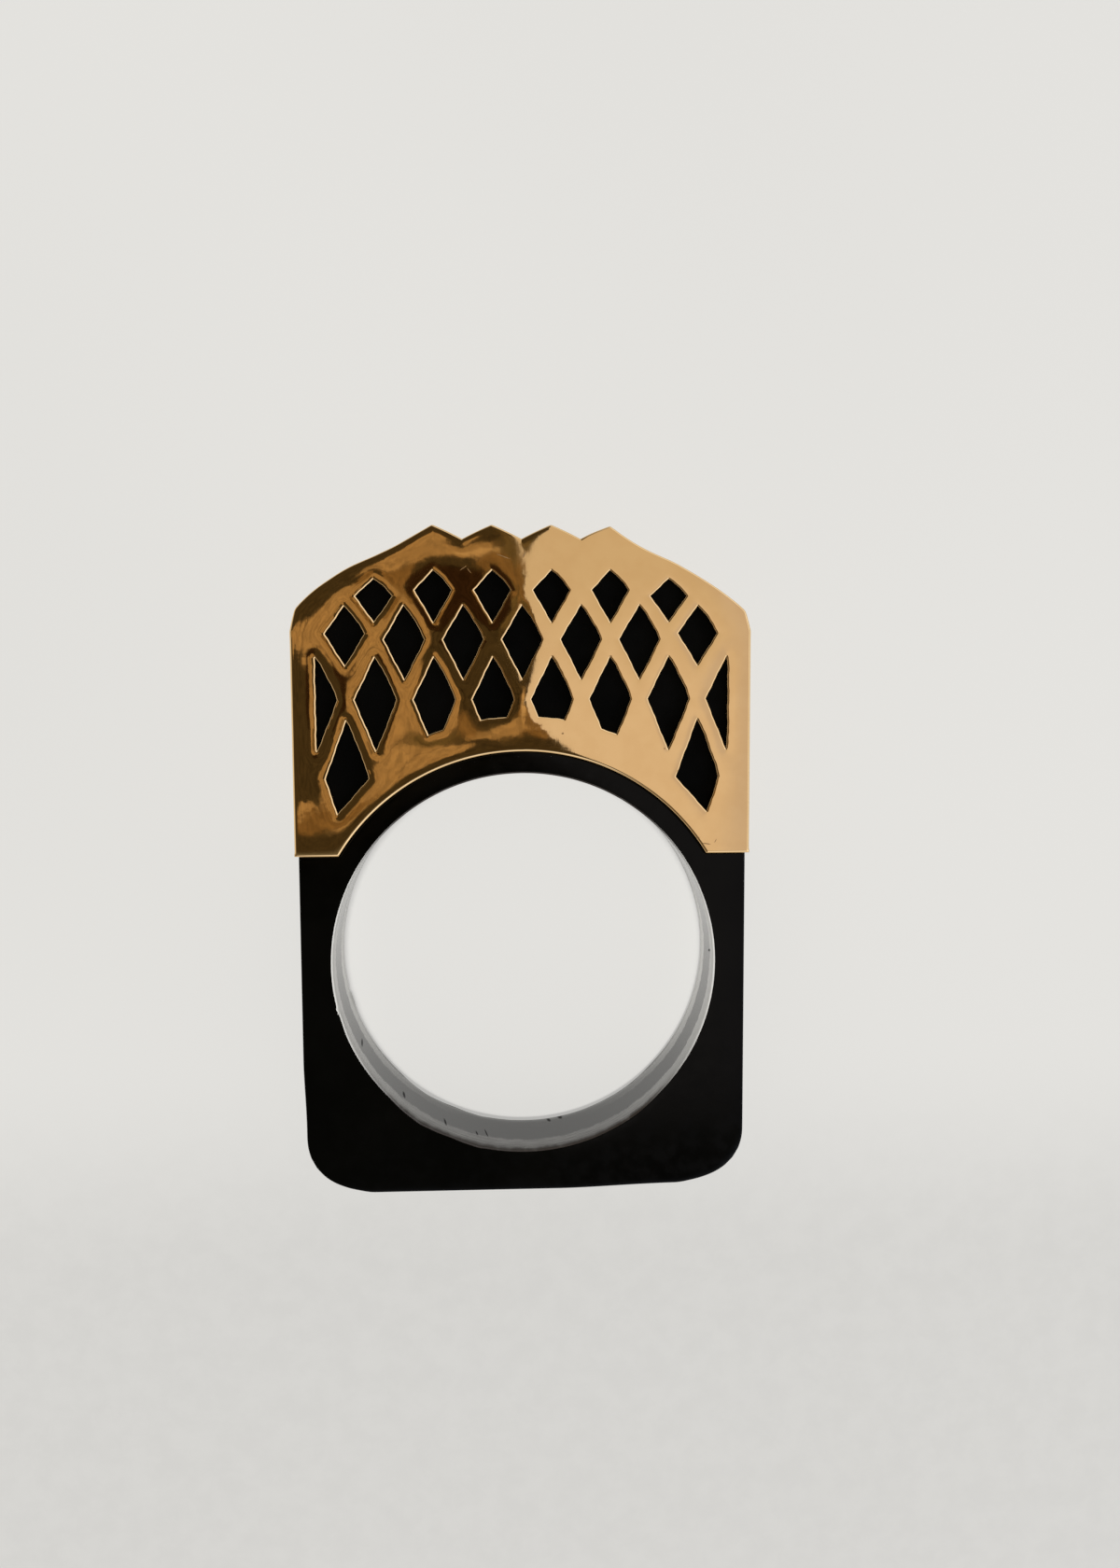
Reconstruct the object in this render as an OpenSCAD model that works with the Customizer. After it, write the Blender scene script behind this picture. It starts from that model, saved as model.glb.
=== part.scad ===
// A finger ring in two pieces: a flat-sided band of black resin with a round finger hole, and a
// pierced gold cap soldered up from sheet that slides over the top of the band.
// The ring lies on its back: the finger hole runs along Z, the show face looks up (+Z) and the
// cap is at the +Y end. The origin is the centre of the finger hole, halfway through the band.
// All sizes are in millimetres.

/* [Finger hole] */
// Diameter of the straight part of the finger hole
hole_d = 17.3; // [16.6:0.1:18]
// Widening of the diameter at each mouth, where the edge is eased for the finger
mouth_flare = 0.2; // [0.1:0.05:0.3]
// Depth of each eased mouth
mouth_depth = 1.05; // [0.6:0.05:1.4]

/* [Resin band] */
// Depth of the band along the finger hole
band_t = 3.8; // [3.4:0.1:6]
// Width of the band across the finger
band_w = 20.1; // [19.7:0.1:20.2]
// Height of resin under the finger hole
base_h = 1.85; // [1.4:0.05:3]
// Length of the rounding of each bottom corner, along the base
corner_w = 3.15; // [1:0.05:5]
// Height of the rounding of each bottom corner, up the side
corner_h = 2.7; // [1:0.05:5]
// Width of the strip of resin left showing between the finger hole and the cap's arch
arch_strip = 1.0; // [0.8:0.05:1.1]

/* [Gold cap] */
// Width of the cap, a little wider than the band
cap_w = 20.4; // [20.3:0.1:21]
// How far the cap's front and back stand proud of the resin
cap_proud = 0.25; // [0.1:0.05:0.3]
// Thickness of the front and back panels
panel_t = 0.6; // [0.5:0.05:0.8]
// Thickness of the side and top walls
wall_t = 0.5; // [0.4:0.05:0.5]
// Height of the straight ends of the two legs above the middle of the finger hole
leg_y = 5; // [4:0.1:6]
// Height of the ridges above the middle of the finger hole
peak_y = 19.6; // [19.3:0.1:21]
// Depth of the grooves between the ridges
groove_depth = 0.62; // [0.3:0.02:0.7]
// Number of ridges that run from front to back across the top
ridges = 4; // [2:2:6]

/* [Lattice] */
// Distance between neighbouring columns of holes
col_pitch = 1.3; // [1.26:0.01:1.32]
// Width of the solid border above the arch
arch_border = 1.55; // [1.3:0.05:1.7]
// Width of the solid border down each side
side_border = 1.08; // [1:0.02:1.3]

/* [Hidden] */
// Clearance between the resin and the inside of the cap
seat_gap = 0.05;
// Extra length that carries a cut clear through a face
past = 1;
// Height above the base of the point that each bottom corner bends towards
corner_lift = 0.3;
// Steps in the curve of each shoulder and each bottom corner
curve_steps = 8;
// Sides of the round cuts and walls round the finger
round_sides = 180;

hole_r = hole_d / 2;
base_y = -hole_r - mouth_flare / 2 - base_h;
arch_r = hole_r + arch_strip;
// Half sizes of the cap and of the pocket inside it, across and through
cap_x = cap_w / 2;
cap_z = band_t / 2 + cap_proud;
pocket_x = cap_x - wall_t;
pocket_z = cap_z - panel_t;
groove_y = peak_y - groove_depth;
outer_peak_x = (ridges - 1) * col_pitch;
frame_x = cap_x - side_border;

// The shoulder falls straight from the outer ridge to bend_start, curves towards bend_mid and
// ends at a corner, below which a short facet meets the straight side.
bend_start = [cap_x - 3.2, peak_y - 1.77];
bend_mid = [cap_x - 1.3, peak_y - 2.8];
shoulder = [cap_x - 0.25, peak_y - 3.77];
facet_y = peak_y - 4.65;

// The holes are kites with a top, a widest level and a bottom, all as distances below the ridges.
// Each row: columns counted from the middle, top, widest, bottom, half width.
KITES = [
    [[1, 3], 1.97, 2.84, 4.25, 0.81],
    [[5], 2.35, 3.10, 4.22, 0.81],
    [[0, 2, 4], 3.50, 5.00, 6.75, 0.89],
    [[6], 3.53, 4.74, 6.14, 0.87],
    [[1, 3, 5, 7], 5.77, 7.64, 9.90, 0.92],
];
// The lowest kite of each side reaches down its leg, and its bottom point leans outwards.
LEG_KITE = [[6], 8.56, 11.14, 12.71, 0.95];
leg_kite_lean = 0.45;

// Points of a curve that leaves p, bends towards m and arrives at q
function curve(p, m, q, steps) =
    [for (i = [0 : steps]) let (t = i / steps) (1 - t) * (1 - t) * p + 2 * t * (1 - t) * m + t * t * q];

function mirrored(points) = [for (i = [len(points) - 1 : -1 : 0]) [-points[i].x, points[i].y]];

// Right-hand side of the cap's outline, from the leg up to the outer ridge
right_side = concat(
    [[cap_x, leg_y], [cap_x, facet_y]],
    curve(shoulder, bend_mid, bend_start, curve_steps),
    [[outer_peak_x, peak_y]]
);

// Grooves and ridges between the two outer ridges, from right to left
ridge_line = [for (i = [1 : 2 * ridges - 3])
    [outer_peak_x - i * col_pitch, i % 2 == 1 ? groove_y : peak_y]];

module cap_outline() {
    polygon(concat(right_side, ridge_line, mirrored(right_side)));
}

// The pocket's outline, drawn inwards by gap: flat on top, with straight shoulders
module pocket_outline(gap) {
    x = pocket_x - gap;
    top = groove_y - wall_t - gap;
    slope = (peak_y - bend_start.y) / (bend_start.x - outer_peak_x);
    // The shoulder lies inside the straight fall by the wall's thickness, measured upright
    drop = (wall_t + gap) * sqrt(1 + slope * slope);
    shoulder_y = facet_y - gap;
    start_x = outer_peak_x + (peak_y - drop - top) / slope;
    bend = [bend_start.x, bend_start.y - drop];
    polygon([
        [-x, leg_y - past], [x, leg_y - past], [x, shoulder_y], bend, [start_x, top],
        [-start_x, top], [-bend.x, bend.y], [-x, shoulder_y]
    ]);
}

// The kites of one table row, on both sides of the middle
module kites(row, lean = 0) {
    top = peak_y - row[1];
    widest = peak_y - row[2];
    bottom = peak_y - row[3];
    half_w = row[4];
    for (column = row[0], side = column == 0 ? [0] : [0, 1])
        mirror([side, 0])
            translate([column * col_pitch, 0])
                polygon([[0, top], [half_w, widest], [lean, bottom], [-half_w, widest]]);
}

// Every hole of one panel: the rows stop at the borders along the arch and down the sides
module lattice() {
    difference() {
        intersection() {
            for (row = KITES)
                kites(row);
            translate([-frame_x, 0])
                square([2 * frame_x, peak_y]);
        }
        circle(r = arch_r + arch_border, $fn = round_sides);
    }
    kites(LEG_KITE, leg_kite_lean);
}

// Outline of the band below the cap, with its two rounded bottom corners
module band_outline(top_y) {
    x = band_w / 2;
    start = [x - corner_w, base_y];
    bend = [x, base_y + corner_lift];
    end = [x, base_y + corner_h];
    right = concat(curve(start, bend, end, curve_steps), [[x, top_y]]);
    polygon(concat(right, mirrored(right)));
}

module finger_hole() {
    flare_r = hole_r + mouth_flare / 2;
    slope = mouth_flare / 2 / mouth_depth;
    cylinder(h = band_t + 2 * past, r = hole_r, center = true, $fn = round_sides);
    for (side = [0, 1])
        mirror([0, 0, side])
            translate([0, 0, band_t / 2 - mouth_depth])
                cylinder(h = mouth_depth + past, r1 = hole_r, r2 = flare_r + past * slope, $fn = round_sides);
}

module resin_band() {
    shelf_y = leg_y - seat_gap;
    core_z = pocket_z - seat_gap;
    color([0.03, 0.03, 0.03])
        difference() {
            union() {
                linear_extrude(height = band_t, center = true)
                    band_outline(shelf_y);
                cylinder(h = band_t, r = arch_r - seat_gap, center = true, $fn = round_sides);
                linear_extrude(height = 2 * core_z, center = true)
                    pocket_outline(seat_gap);
            }
            finger_hole();
        }
}

module gold_cap() {
    color([0.83, 0.63, 0.33])
        difference() {
            linear_extrude(height = 2 * cap_z, center = true)
                cap_outline();
            linear_extrude(height = 2 * pocket_z, center = true)
                pocket_outline(0);
            cylinder(h = 2 * cap_z + past, r = arch_r, center = true, $fn = round_sides);
            linear_extrude(height = 2 * cap_z + past, center = true)
                lattice();
        }
}

resin_band();
gold_cap();
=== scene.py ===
"""Looks for a black resin finger ring with a pierced gold cap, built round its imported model.

The ring lies on its back, as it rests by itself. Lengths are in millimetres in the frame's own
axes, and each mesh is turned into metres when it is made. The outlines are read from the packed
faces, but for the edge of the finger hole, which is drawn here.
"""

import math

import bpy
import numpy as np
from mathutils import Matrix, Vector
from mathutils.geometry import delaunay_2d_cdt


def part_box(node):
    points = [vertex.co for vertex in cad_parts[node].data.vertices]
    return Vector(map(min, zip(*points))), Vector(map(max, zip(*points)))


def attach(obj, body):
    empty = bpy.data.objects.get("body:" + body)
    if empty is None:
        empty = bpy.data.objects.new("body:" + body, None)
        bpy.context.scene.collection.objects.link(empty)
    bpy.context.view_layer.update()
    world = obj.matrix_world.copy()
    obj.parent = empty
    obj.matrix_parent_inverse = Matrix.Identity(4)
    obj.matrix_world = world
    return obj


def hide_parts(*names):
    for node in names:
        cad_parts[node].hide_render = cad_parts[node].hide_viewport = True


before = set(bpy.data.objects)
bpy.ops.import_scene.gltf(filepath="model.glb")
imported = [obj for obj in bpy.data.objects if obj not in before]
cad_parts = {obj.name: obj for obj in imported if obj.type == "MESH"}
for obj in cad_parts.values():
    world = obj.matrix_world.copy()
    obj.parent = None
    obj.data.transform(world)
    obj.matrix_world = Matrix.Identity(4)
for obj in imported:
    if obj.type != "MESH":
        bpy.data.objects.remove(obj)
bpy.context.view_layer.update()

MM = 0.001

# Levels of the faces that look up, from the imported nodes
CAP_LOW, CAP_HIGH = (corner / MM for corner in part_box("gold_cap"))
PANEL_TOP = CAP_HIGH.z
PANEL_THICKNESS = 0.6
POCKET_TOP = PANEL_TOP - PANEL_THICKNESS
LEG_Y = CAP_LOW.y
BAND_TOP = (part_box("resin_band")[1] / MM).z
SEAT_GAP = 0.05
CORE_TOP = POCKET_TOP - SEAT_GAP
SHELF_Y = LEG_Y - SEAT_GAP
LOOKS_UP = 0.9

# The finger hole: its straight part, and its mouth where it is flared the most
HOLE_R = 8.65
MOUTH_R = 8.75
HOLE_STEPS = 720
# Depth of the flare, and how fast it grows. Its wall has a row of points at each share of the depth.
MOUTH_DEPTH = 1.05
MOUTH_BEND = 5
MOUTH_ROWS = (*np.linspace(0.95, 0.35, 9), 0.0)
# The mouth is flared round the bottom of the ring: its middle, and how far away the flare fades in
FLARED_AT = math.radians(-92)
FLARED_FROM = np.radians((50, 34))
# Strip of resin between the finger hole and the arch of the cap
ARCH_STRIP = 1.0
# Hand-cut edge of the hole: direction in degrees, depth and half width of each dent or swelling
MOUTH_MARKS = (
    (-166.4, 0.05, 0.12),
    (-163.0, -0.03, 0.5),
    (-134.0, -0.03, 0.6),
    (-123.0, 0.035, 0.35),
    (-113.0, -0.045, 0.5),
    (-104.0, 0.03, 0.3),
    (-60.0, -0.02, 1.4),
    (20.0, -0.015, 1.8),
)
# Hand-sanded bands of the hole start this far from its middle, softly and with a frayed edge
SANDED_FROM = 0.86
SANDED_SOFT = 0.12
SANDED_FRAY = 0.48
# Short scratches across the wall of the hole: direction, height, half length up, half width round
BORE_SCRATCHES = (
    (-151.7, 0.1, 0.4, 0.07),
    (-130.9, 0.42, 0.35, 0.08),
    (-115.6, 0.65, 0.4, 0.06),
    (-105.2, 0.7, 0.25, 0.05),
    (-102.2, 0.45, 0.5, 0.04),
    (-82.2, -1.4, 0.25, 0.08),
    (-78.5, -1.5, 0.25, 0.1),
    (1.5, 0.76, 0.3, 0.06),
)

# Camera, from a fit of the ring's known outline to the photo
CAMERA_AT = Vector((-0.559, 12.497, 54.555))
CAMERA_TURN = [math.radians(angle) for angle in (-4.711, -2.412, -0.248)]
CAMERA_LENS = 27.04

# Outlines: turns sharper than CORNER stay corners, and segments longer than STRAIGHT stay straight
CORNER = math.radians(12)
STRAIGHT = 1.5
# Distance between the points of an outline, and turn between the points fanned round its corners
STEP = 0.1
FAN_STEP = math.radians(24)
# Places this close are the same one, and triangles with less than half of SLIVER in area are left out
SAME = 0.002
SLIVER = 1e-8
# Steps per mm of the grid on which a mesh's corners are joined
WELD_STEPS = 2e4
# Shares of a ring's distance, or of the grid, that points keep from the edge and from each other
RING_CLEAR = 0.97
RING_APART = 0.7
RING_APART_MOST = 0.05
GRID_CLEAR = 0.45
GRID_APART = 0.5

# Spots where the hand-made outline strays from the drawn one: centre, reach and shift
CAP_STRAYS = (
    ((-8.6, 16.6), 2.8, (0.0, 0.24)),
    ((-7.0, 17.8), 1.9, (0.0, 0.12)),
    ((5.0, 18.7), 2.2, (0.0, -0.18)),
)
BAND_STRAYS = (
    ((7.5, -10.3), 6.0, (0.0, 0.16)),
    ((-9.5, -7.8), 3.5, (0.1, 0.0)),
)
# Step along an outline that tells how a stray turns it
NUDGE = 0.001

# Polished edges: depth of the strip that turns over below them, and how far inside them the polish of
# their own points is worked out
RIM_DEPTH = 0.05
PROBE = 1e-4
# Width and steepest slope of the rolled rims
HOLE_RIM = (0.05, 0.65)
RESIN_RIM = (0.06, 1.0)
# The cap's outer edge is rolled along the sides, eased along the arch and filed crisp along the top
SIDE_RIM = (0.1, 2.0)
ARCH_RIM = (0.1, 0.7)
TOP_RIM = (0.06, 0.9)
TOP_FROM = (14.6, 16.2)
# Slope at the edge and length of each shallow fall that the polishing wheel leaves. Outer edges that
# face right keep RIGHT_SHARE of them, from one place along X to another.
EDGE_FALLS = ((0.03, 0.35), (0.08, 0.07))
RIGHT_SHARE = 0.25
RIGHT_FROM = (-1.7, -0.9)
RESIN_FALLS = ((0.1, 0.12),)
# The wheel bites more into the holes further from the middle: slope there, and growth per mm
HOLE_FALLS = ((0.008, 0.0035, 0.3), (0.0, 0.018, 0.06))
REACH = 2.5
# Distances of the rings of points inside an edge, and the grid of points further in
GOLD_RINGS = (0.015, 0.03, 0.045, 0.062, 0.095, 0.14, 0.2, 0.28, 0.38)
GOLD_GRID = 0.17
RESIN_RINGS = (0.02, 0.04, 0.065, 0.12, 0.22, 0.4)
RESIN_GRID = 0.5
PLAIN_GRID = 1.0
# Long shallow waves of a face finished by hand: wavelength, direction, slope and phase
WAVES = (
    (5.3, 0.4, 0.0012, 0.3),
    (3.7, 1.9, 0.0014, 1.1),
    (2.3, 2.7, 0.0010, 4.2),
    (1.4, 0.9, 0.0006, 2.0),
)
# Wander of the piercing saw along the edge of a hole: wavelength and height
SAW_MARKS = ((1.3, 0.010), (0.47, 0.006))
SAW_FADE = 0.25
# The saw bows outwards along the upper right edge of each hole
SAW_BOW = 0.07
SAW_BOW_FACING = np.array((0.83, 0.56))
SAW_BOW_FADE = 0.7
# Rounding of the ridges and of the cap's other outward corners
RIDGE_ROUND = 0.14
SHOULDER_ROUND = 0.5

# Numbers of the materials in each piece
GOLD_FACE, GOLD_SAWN = range(2)
RESIN_FACE, RESIN_BORE, RESIN_CORE = range(3)

GOLD_PALE = (0.88, 0.60, 0.285)
GOLD_DEEP = (0.85, 0.57, 0.265)
# Steps per metre of the lines of the polishing wheel, and their share of the bumps
WHEEL_LINES = (9000.0, 700.0, 2000.0)
WHEEL_SHARE = 0.12
MARK_TINT = (0.30, 0.16, 0.06)
MARK_STRENGTH = 0.6
MARK_SOFT = (1.3, 0.5)
MARK_ROUGHNESS = 0.4
# Specks and fine scratches on the front: centre, half length, half width and turn in degrees
GOLD_MARKS = (
    ((1.78, 10.43), (0.05, 0.04), 30),
    ((6.34, 9.73), (0.05, 0.04), -20),
    ((3.91, 13.85), (0.07, 0.035), 10),
    ((8.25, 5.42), (0.2, 0.03), -8),
    ((8.66, 5.55), (0.1, 0.02), 60),
    ((7.85, 5.7), (0.12, 0.015), 12),
    ((-0.8, 18.22), (0.3, 0.018), -20),
    ((-2.55, 17.72), (0.18, 0.02), 35),
    ((-2.3, 17.6), (0.14, 0.018), -50),
    ((0.1, 11.9), (0.2, 0.02), 78),
    ((0.12, 18.3), (0.14, 0.03), 65),
    ((6.9, 8.7), (0.2, 0.01), 55),
)
RESIN_DARK = (0.0006, 0.0006, 0.0004)
RESIN_WARM = (0.0016, 0.0015, 0.0012)
# Steps per metre of the resin's sanding marks
RESIN_SANDING = (1500.0, 1500.0, 9000.0)
# The hole's wall: steps per mm round and up of its frayed bands and sanding lines, and its colours,
# with a painted reflection that makes them lighter towards the left and the right
BORE_FRAY = (2.2, 0.4, 0.0)
BORE_LINES = (0.8, 9.0, 0.0)
SIDE_REFLECTION_POWER = 4.0
SIDE_REFLECTION_FROM = (0.8, 1.0)
BORE_COLOUR = (0.003, 0.003, 0.003)
BORE_SIDE_REFLECTION = (0.08, 0.078, 0.075)
SANDED_BACK = (0.015, 0.0145, 0.014)
SANDED_DARK = (0.11, 0.107, 0.102)
SANDED_PALE = (0.26, 0.253, 0.243)
SANDED_SIDE_REFLECTION = (0.82, 0.81, 0.78)
BACK_FROM = (-0.1, 0.1)
# Painted shade on the lip of the hole, which is also rougher there, by height and by how far left or
# right it is
LIP_PAINTED_SHADE = (0.025, 0.019, 0.014)
LIP_SHADE_FROM = (1.55, 1.88)
LIP_SHADE_SIDES = (0.9, 0.6)
LIP_SHADE_ROUGHNESS = 0.45
SCRATCH_TURN = -12
SCRATCH_SOFT = (1.4, 0.3)
SCRATCH_ROUGHNESS = 0.9


def unit(vectors):
    return vectors / np.linalg.norm(vectors, axis=-1, keepdims=True)


def left_of(vectors):
    return np.stack([-vectors[..., 1], vectors[..., 0]], axis=-1)


def cross(a, b):
    return a[..., 0] * b[..., 1] - a[..., 1] * b[..., 0]


def face_loops(node, level):
    """Outlines of a node's face that looks up at a level, the longest first, which it lies left of."""
    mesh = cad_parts[node].data
    places = np.array([v.co for v in mesh.vertices]) / MM
    _, first, weld = np.unique(places.round(4), axis=0, return_index=True, return_inverse=True)
    places, weld = places[first], weld.reshape(-1)
    edges = set()
    for polygon in mesh.polygons:
        ring = [int(weld[v]) for v in polygon.vertices]
        if polygon.normal.z > LOOKS_UP and all(abs(places[v][2] - level) < SAME for v in ring):
            edges.update(zip(ring, ring[1:] + ring[:1]))
    following = {a: b for a, b in edges if (b, a) not in edges}
    loops = []
    while following:
        ring = []
        at = min(following)
        while at in following:
            ring.append(at)
            at = following.pop(at)
        loops.append(places[ring][:, :2])
    return sorted(loops, key=lambda ring: -np.ptp(ring, axis=0).sum())


def turns_of(into, out):
    """Signed turn at each point, positive to the left."""
    return np.arctan2(cross(into, out), (into * out).sum(-1))


def fan(start, turn, step):
    """A direction turned in even steps, no larger than step."""
    angles = np.linspace(0, turn, math.ceil(abs(turn) / step) + 1)[:, None]
    return start * np.cos(angles) + left_of(start) * np.sin(angles)


def rounded(corners):
    """The cap's outline with its outward corners rounded, but for those at the ends of the legs."""
    made = []
    for before, corner, after in zip(*(np.roll(corners, by, axis=0) for by in (1, 0, -1))):
        into, out = unit(corner - before), unit(after - corner)
        turn = float(turns_of(into, out))
        if turn < CORNER or corner[1] < LEG_Y + SAME:
            made.append(corner)
            continue
        radius = RIDGE_ROUND if corner[1] > CAP_HIGH.y - SAME else SHOULDER_ROUND
        centre = corner + radius * (left_of(into) - into * math.tan(turn / 2))
        made += list(centre + radius * fan(-left_of(into), turn, CORNER / 2))
    return np.array(made)


def strayed(places, strays):
    """How far the hand-made outline strays at each place."""
    moved = np.zeros_like(places)
    for centre, reach, shift in strays:
        far = ((places - centre) ** 2).sum(1) / reach**2
        moved += np.clip(1 - far, 0, 1)[:, None] ** 2 * np.array(shift)
    return moved


class Path:
    """An open line of points with the direction of travel before and after each one."""

    def __init__(self, points, into, out):
        self.points, self.into, self.out = points, into, out

    def backwards(self):
        return Path(self.points[::-1], -self.out[::-1], -self.into[::-1])


class Loop(Path):
    """A closed line of such points, with the face that it bounds on its left."""

    def turns(self):
        return turns_of(self.into, self.out)

    def inward(self):
        """Direction from each point into the face."""
        return unit(left_of(self.into) + left_of(self.out))

    def closed(self):
        """The whole loop as a path that ends where it starts."""
        return Path(*(np.concatenate([v, v[:1]]) for v in (self.points, self.into, self.out)))

    def parts(self, arc, end):
        """Its open parts on an arc round the middle, on a level line, and elsewhere."""
        middles = (self.points + np.roll(self.points, -1, axis=0)) / 2
        on_arc = np.abs(np.hypot(*middles.T) - arc) < 10 * SAME
        on_end = np.abs(middles[:, 1] - end) < SAME
        found = []
        for wanted in (on_arc, on_end, ~(on_arc | on_end)):
            paths = []
            for start in np.flatnonzero(wanted & ~np.roll(wanted, 1)):
                length = int(np.argmin(np.roll(wanted, -start)))
                order = np.arange(start, start + length + 1) % len(wanted)
                paths.append(Path(self.points[order], self.into[order], self.out[order]))
            found.append(paths)
        return found

    def sides(self):
        """Open lines between the corners that the face fills, or one closed line if it has none."""
        cuts = np.flatnonzero(self.turns() > CORNER / 2)
        if len(cuts) == 0:
            return [self.closed().points]
        twice = np.concatenate([self.points, self.points])
        ends = np.append(cuts[1:], cuts[0] + len(self.points))
        return [twice[a : b + 1] for a, b in zip(cuts, ends)]

    def ring(self, distance):
        """Points at one distance inside the face, fanned round the corners that stick into it."""
        turns = self.turns()
        reach = distance / np.cos(np.clip(turns, 0, None) / 2)
        found = [self.points + self.inward() * reach[:, None]]
        for i in np.flatnonzero(turns < -CORNER):
            found.append(self.points[i] + distance * fan(left_of(self.into[i]), turns[i], FAN_STEP))
        return np.concatenate(found)

    def stray(self, strays):
        """Moves the outline, and turns its directions with it."""
        moved = strayed(self.points, strays)
        self.into, self.out = (
            unit(heading + (strayed(self.points + NUDGE * heading, strays) - moved) / NUDGE)
            for heading in (self.into, self.out)
        )
        self.points = self.points + moved

    def saw(self, number):
        """Moves the points a little in and out, as a piercing saw wanders between the corners."""
        steps = np.linalg.norm(np.roll(self.points, -1, axis=0) - self.points, axis=1)
        along = np.cumsum(steps) - steps
        total = steps.sum()
        wander = sum(
            height * np.sin(2 * math.pi * along / wavelength + number * (3 + 2 * k))
            for k, (wavelength, height) in enumerate(SAW_MARKS)
        )
        since = np.full(len(along), total)
        for corner in np.flatnonzero(np.abs(self.turns()) > CORNER):
            apart = np.abs(along - along[corner])
            since = np.minimum(since, np.minimum(apart, total - apart))
        wander *= np.clip(since / SAW_FADE, 0, 1)
        facing = np.clip(self.inward() @ SAW_BOW_FACING, 0, 1)
        middle = 1 - (1 - np.clip(since / SAW_BOW_FADE, 0, 1)) ** 2
        wander += SAW_BOW * facing**2 * middle
        self.points = self.points + self.inward() * wander[:, None]


def sampled(corners):
    """The loop through the corners of an outline, with points at even steps."""
    chords = np.roll(corners, -1, axis=0) - corners
    lengths = np.linalg.norm(chords, axis=1)
    ahead = unit(chords)
    behind = np.roll(ahead, 1, axis=0)
    before = np.roll(lengths, 1)
    sharp = np.abs(turns_of(behind, ahead)) > CORNER
    share = np.where(lengths > STRAIGHT, 1.0, before / (before + lengths))
    share = np.where(before > STRAIGHT, 0.0, share)[:, None]
    smooth = unit(ahead * share + behind * (1 - share))
    leaving = np.where(sharp[:, None], ahead, smooth)
    arriving = np.where(sharp[:, None], behind, smooth)
    points, into, out = [], [], []
    for i, chord in enumerate(chords):
        j = (i + 1) % len(corners)
        # A curve that starts or ends at a corner keeps one bend over its first or last chord
        first = 2 * ahead[i] - arriving[j] if sharp[i] and not sharp[j] else leaving[i]
        last = 2 * ahead[i] - leaving[i] if sharp[j] and not sharp[i] else arriving[j]
        if lengths[i] > STRAIGHT or (sharp[i] and sharp[j]):
            first = last = ahead[i]
        count = max(1, round(lengths[i] / STEP))
        for t in np.arange(count) / count:
            bend = t * (1 - t) ** 2 * first - t * t * (1 - t) * last
            points.append(corners[i] + (3 - 2 * t) * t * t * chord + lengths[i] * bend)
            heading = 6 * t * (1 - t) * ahead[i] + (1 - t) * (1 - 3 * t) * first
            heading = unit(heading + t * (3 * t - 2) * last)
            into.append(behind[i] if t == 0 and sharp[i] else heading)
            out.append(heading)
    return Loop(np.array(points), np.array(into), np.array(out))


def turned_from(direction, angles):
    """How far angles are turned from a direction, by half a turn at most."""
    return np.angle(np.exp(1j * (angles - direction)))


def finger_mouth():
    """The finger hole's edge in the resin's face, flared at the bottom and marked here and there."""
    angles = -2 * math.pi * np.arange(HOLE_STEPS) / HOLE_STEPS
    spokes = np.column_stack([np.cos(angles), np.sin(angles)])
    flared = ramp(np.abs(turned_from(FLARED_AT, angles)), *FLARED_FROM)
    reach = HOLE_R + (MOUTH_R - HOLE_R) * flared**2 * (3 - 2 * flared)
    for direction, depth, half in MOUTH_MARKS:
        along = HOLE_R * turned_from(math.radians(direction), angles)
        reach += depth * np.exp(-((along / half) ** 2))
    heading = -left_of(spokes)
    return Loop(reach[:, None] * spokes, heading, heading)


def nearest(places, line, reach):
    """Numbers of the places within reach of an open line's box, how far they are, and which way."""
    low, high = line.min(0) - reach, line.max(0) + reach
    near = np.flatnonzero(((places > low) & (places < high)).all(1))
    places = places[near]
    best = np.full(len(places), np.inf)
    away = np.zeros((len(places), 2))
    for a, b in zip(line[:-1], line[1:]):
        ab = b - a
        share = np.clip((places - a) @ ab / (ab @ ab), 0, 1)
        offset = places - a - share[:, None] * ab
        distance = np.hypot(offset[:, 0], offset[:, 1])
        closer = distance < best
        best[closer] = distance[closer]
        away[closer] = offset[closer]
    return near, best, away / np.maximum(best, 1e-9)[:, None]


def clearance(places, loops, reach=1.0):
    """Distance from each place to the nearest loop, where one is within reach."""
    best = np.full(len(places), np.inf)
    for loop in loops:
        near, distance, _ = nearest(places, loop.closed().points, reach)
        best[near] = np.minimum(best[near], distance)
    return best


def inside(places, loops):
    """True where a place is in the face, by counting the edges to its right."""
    odd = np.zeros(len(places), bool)
    for loop in loops:
        for (ax, ay), (bx, by) in zip(loop.points, np.roll(loop.points, -1, axis=0)):
            if ay != by:
                spans = (places[:, 1] >= min(ay, by)) & (places[:, 1] < max(ay, by))
                crossing = ax + (places[:, 1] - ay) * (bx - ax) / (by - ay)
                odd ^= spans & (crossing > places[:, 0])
    return odd


def spaced(places, gaps):
    """Numbers of the places that keep their gap from every one kept before."""
    size = max(gaps)
    cells = {}
    kept = []
    for i, (x, y) in enumerate(places):
        column, row = int(x // size), int(y // size)
        near = (
            places[j]
            for a in (column - 1, column, column + 1)
            for b in (row - 1, row, row + 1)
            for j in cells.get((a, b), ())
        )
        if all((p[0] - x) ** 2 + (p[1] - y) ** 2 >= gaps[i] ** 2 for p in near):
            cells.setdefault((column, row), []).append(i)
            kept.append(i)
    return kept


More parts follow.
